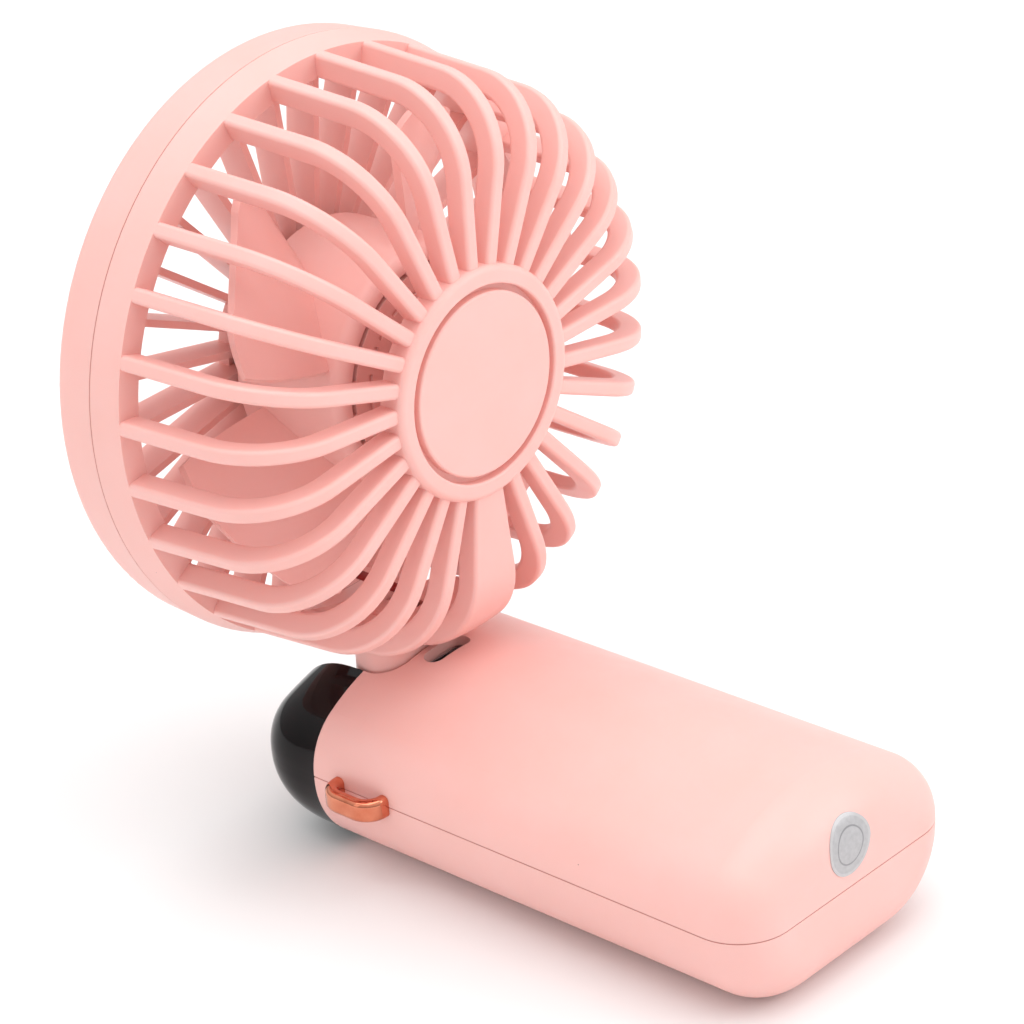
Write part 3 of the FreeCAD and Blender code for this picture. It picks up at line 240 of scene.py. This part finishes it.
def copper_winding():
    """Enamelled wire laid turn beside turn, with painted shade in the grooves between turns.
    """
    look = Shader("copper_winding")
    turns = look.node("ShaderNodeTexWave", wave_type="BANDS", bands_direction="DIAGONAL")
    turns.inputs["Scale"].default_value = 1.0 / WIRE_PITCH
    turns.inputs["Distortion"].default_value = 0.6
    turns.inputs["Detail Scale"].default_value = 1.0 / WIRE_WANDER
    look.links.new(look.place, turns.inputs["Vector"])
    wire_and_groove_shade = turns.outputs["Fac"]
    # Each band runs from the copper's own colour on a turn to a dark copper in the groove
    # beside it: painted shade.
    look.set(Base_Color=look.mix(wire_and_groove_shade, linear(96, 38, 20), linear(206, 112, 62)))
    look.set(Metallic=0.85, Coat_Weight=0.7, Coat_Roughness=0.12)
    look.rough(low=0.25, high=0.4, size=1.0 * MM)
    return look.bump(wire_and_groove_shade, depth=0.06 * MM, strength=0.8).material


TRACK_SPACING = 7 * MM


def circuit_board():
    """Green solder mask over faint tracks."""
    look = Shader("circuit_board")
    tracks = look.node("ShaderNodeTexBrick")
    tracks.inputs["Scale"].default_value = 1.0 / TRACK_SPACING
    tracks.inputs["Mortar Size"].default_value = 0.05
    tracks.inputs["Color1"].default_value = linear(18, 92, 52)
    tracks.inputs["Color2"].default_value = linear(22, 84, 48)
    tracks.inputs["Mortar"].default_value = linear(44, 128, 74)
    look.links.new(look.place, tracks.inputs["Vector"])
    look.set(Base_Color=tracks.outputs["Color"], Coat_Weight=0.4, Coat_Roughness=0.15)
    look.rough(low=0.3, high=0.45, size=2 * MM)
    return look.bump(tracks.outputs["Fac"], depth=0.02 * MM, strength=0.3).material


def plain_moulding(name, light, dark, low=0.4, high=0.55):
    """Small moulded parts: even colour with a fine grain."""
    look = Shader(name)
    look.tinted(linear(*light), linear(*dark), size=4 * MM)
    look.rough(low, high, size=2 * MM)
    grain = look.noise(0.2 * MM, detail=2.0)
    return look.bump(grain, depth=0.006 * MM, strength=0.4).material


def cell_wrap():
    """Heat-shrunk film with faint creases round each cell."""
    look = Shader("cell_wrap")
    look.tinted(light=linear(84, 138, 178), dark=linear(66, 116, 158), size=6 * MM)
    creases = look.stretched(1.0, 8.0, 1.0)
    look.rough(low=0.22, high=0.36, size=3 * MM, place=creases)
    look.set(Coat_Weight=0.3, Coat_Roughness=0.2)
    folds = look.noise(2 * MM, place=creases)
    return look.bump(folds, depth=0.03 * MM, strength=0.4).material


# Shares of the sticker's radius, and how strongly each print covers the film.
STICKER_RING = 0.62
STICKER_RING_HALF_WIDTH = 0.028
STICKER_RING_INK = 0.55
STICKER_RIM = 0.9
STICKER_RIM_INK = 0.4


def sticker_film():
    """Silver-grey film with a printed rim and one plain ring."""
    look = Shader("sticker_film")
    low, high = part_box("inspection_sticker")
    middle = (low + high) / 2
    radius = (high.x - low.x) / 2
    spot = look.split()
    across = look.math("SUBTRACT", spot["X"], middle.x)
    upward = look.math("SUBTRACT", spot["Z"], middle.z)
    across_square = look.math("MULTIPLY", across, across)
    upward_square = look.math("MULTIPLY", upward, upward)
    square = look.math("ADD", across_square, upward_square)
    share = look.math("DIVIDE", look.math("SQRT", square), radius)
    ring = look.near(share, STICKER_RING, STICKER_RING_HALF_WIDTH)
    rim = look.math("GREATER_THAN", share, STICKER_RIM)
    paper = look.remap(look.noise(0.8 * MM), 0.0, 1.0)
    film = look.mix(paper, linear(172, 170, 172), linear(184, 182, 184))
    ring_ink = look.math("MULTIPLY", ring, STICKER_RING_INK)
    rim_ink = look.math("MULTIPLY", rim, STICKER_RIM_INK)
    printed = look.mix(ring_ink, film, linear(104, 102, 106))
    look.set(Base_Color=look.mix(rim_ink, printed, linear(206, 203, 204)))
    look.set(Metallic=0.25, Coat_Weight=0.35, Coat_Roughness=0.25)
    look.rough(low=0.32, high=0.45, size=1.5 * MM)
    grain = look.noise(0.3 * MM, detail=2.0)
    return look.bump(grain, depth=0.008 * MM, strength=0.4).material


PINK_LIGHT = linear(247, 192, 185)
PINK_DARK = linear(246, 189, 181)


def make_materials():
    handle_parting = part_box("back_shell")[0].z
    head_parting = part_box("front_grille")[1].y
    shell = moulded_pink("pink_shell", PINK_LIGHT, PINK_DARK, "Z", handle_parting)
    cage = moulded_pink("pink_cage", PINK_LIGHT, PINK_DARK, "Y", head_parting)
    brass_lines = (BRUSHING, 1.0, BRUSHING)
    return {
        "pink_shell": shell,
        "pink_cage": cage,
        "black_nose": gloss_black(),
        "rose_gold": rose_gold(),
        "sticker": sticker_film(),
        "steel": brushed_steel("steel", (196, 196, 200)),
        "magnet": plain_moulding("magnet", (62, 60, 62), (44, 42, 44), low=0.45, high=0.6),
        "laminate": circuit_board(),
        "copper": copper_winding(),
        "brass": brushed_steel("brass", (206, 172, 104), along=brass_lines),
        "nickel": brushed_steel("nickel", (190, 186, 176), low=0.3, high=0.45),
        "cell_wrap": cell_wrap(),
        "black_plastic": plain_moulding("black_plastic", (40, 40, 42), (28, 28, 30)),
        "white_plastic": plain_moulding("white_plastic", (228, 226, 220), (214, 212, 206)),
        "light": plain_moulding("light", (244, 246, 232), (226, 230, 214), low=0.1, high=0.2),
        "lead": plain_moulding("lead", (168, 42, 36), (140, 30, 28), low=0.35, high=0.5),
    }


def dress_frame():
    """Gives every CAD piece the material of its slot."""
    materials = make_materials()
    slots = {part["node"]: part["material_slot"] for part in frame["record"]["subparts"]}
    for name, piece in frame["nodes"].items():
        piece.data.materials.clear()
        piece.data.materials.append(materials[slots[name]])


# ---------------------------------------------------------------- studio

# The floor lies a hair below the fan, so that the two faces do not flicker.
FLOOR_HALF = 6.0
FLOOR_DROP = 0.02 * MM
FLOOR_LIGHT = (0.9, 0.9, 0.9, 1)
FLOOR_DARK = (0.88, 0.88, 0.88, 1)


def make_floor():
    """A plain pale floor, large enough to fill the view from any side."""
    mesh = bpy.data.meshes.new("floor")
    sides = ((-1, -1), (1, -1), (1, 1), (-1, 1))
    corners = [(x * FLOOR_HALF, y * FLOOR_HALF, -FLOOR_DROP) for x, y in sides]
    mesh.from_pydata(corners, [], [(0, 1, 2, 3)])
    floor = bpy.data.objects.new("floor", mesh)
    bpy.context.scene.collection.objects.link(floor)
    look = Shader("floor")
    look.tinted(FLOOR_LIGHT, FLOOR_DARK, size=0.3)
    look.rough(low=0.75, high=0.85, size=0.1)
    floor.data.materials.append(look.material)


def soft_box(name, place, width, height, power):
    """A rectangular studio light that points from place at the fan."""
    data = bpy.data.lights.new(name, "AREA")
    data.shape = "RECTANGLE"
    data.size = width
    data.size_y = height
    data.energy = power
    lamp = bpy.data.objects.new(name, data)
    lamp.location = place
    lamp.rotation_mode = "QUATERNION"
    lamp.rotation_quaternion = (LIGHT_AIM - Vector(place)).to_track_quat("-Z", "Y")
    bpy.context.scene.collection.objects.link(lamp)


HORIZON = 0.44
ZENITH = 1.06
ZENITH_HEIGHT = 0.75
LIGHT_AIM = Vector((0, 0, 0.05))
TOP_POWER = 4.8
LEFT_POWER = 3.6
RIGHT_POWER = 0.5


def make_sky():
    """Even light from all round, darker near the horizon than overhead."""
    world = bpy.data.worlds.new("studio")
    world.use_nodes = True
    tree = world.node_tree
    place = tree.nodes.new("ShaderNodeTexCoord")
    split = tree.nodes.new("ShaderNodeSeparateXYZ")
    ramp = tree.nodes.new("ShaderNodeValToRGB")
    tree.links.new(place.outputs["Generated"], split.inputs["Vector"])
    tree.links.new(split.outputs["Z"], ramp.inputs["Fac"])
    stops = ramp.color_ramp.elements
    stops[0].position = 0.0
    stops[0].color = (HORIZON, HORIZON, HORIZON, 1.0)
    stops[1].position = ZENITH_HEIGHT
    stops[1].color = (ZENITH, ZENITH, ZENITH, 1.0)
    sky = tree.nodes["Background"]
    tree.links.new(ramp.outputs["Color"], sky.inputs["Color"])
    sky.inputs["Strength"].default_value = 1.0
    bpy.context.scene.world = world


def make_lights():
    make_sky()
    soft_box("top_light", (0.1, 0.0, 1.1), width=1.0, height=1.0, power=TOP_POWER)
    soft_box("left_light", (-0.6, 0.8, 0.6), width=0.5, height=0.8, power=LEFT_POWER)
    soft_box("right_light", (1.0, -0.2, 0.5), width=0.4, height=0.8, power=RIGHT_POWER)


# The camera stands behind the fan, on its +X side, and looks down at it.
CAMERA_AZIMUTH = 133.686
CAMERA_ELEVATION = 25.370
CAMERA_ROLL = -3.910
CAMERA_DISTANCE = 0.570684
CAMERA_LENS = 120.65
CAMERA_AIM = Vector((-0.019709, -0.028716, 0.046792))


def make_camera():
    turn = math.radians(CAMERA_AZIMUTH)
    tilt = math.radians(CAMERA_ELEVATION)
    roll = math.radians(CAMERA_ROLL)
    across = Vector((math.sin(turn), -math.cos(turn), 0)) * math.cos(tilt)
    back = across + Vector((0, 0, math.sin(tilt)))
    level = (-back).cross(Vector((0, 0, 1))).normalized()
    upright = level.cross(-back)
    right = level * math.cos(roll) + upright * math.sin(roll)
    up = upright * math.cos(roll) - level * math.sin(roll)
    data = bpy.data.cameras.new("camera")
    data.lens = CAMERA_LENS
    data.clip_start = 0.01
    data.clip_end = 50
    camera = bpy.data.objects.new("camera", data)
    facing = Matrix((right, up, back)).transposed().to_4x4()
    camera.matrix_world = Matrix.Translation(CAMERA_AIM + back * CAMERA_DISTANCE) @ facing
    bpy.context.scene.collection.objects.link(camera)
    bpy.context.scene.camera = camera


dress_frame()
make_floor()
make_lights()
make_camera()
bpy.context.scene.view_settings.view_transform = "Standard"
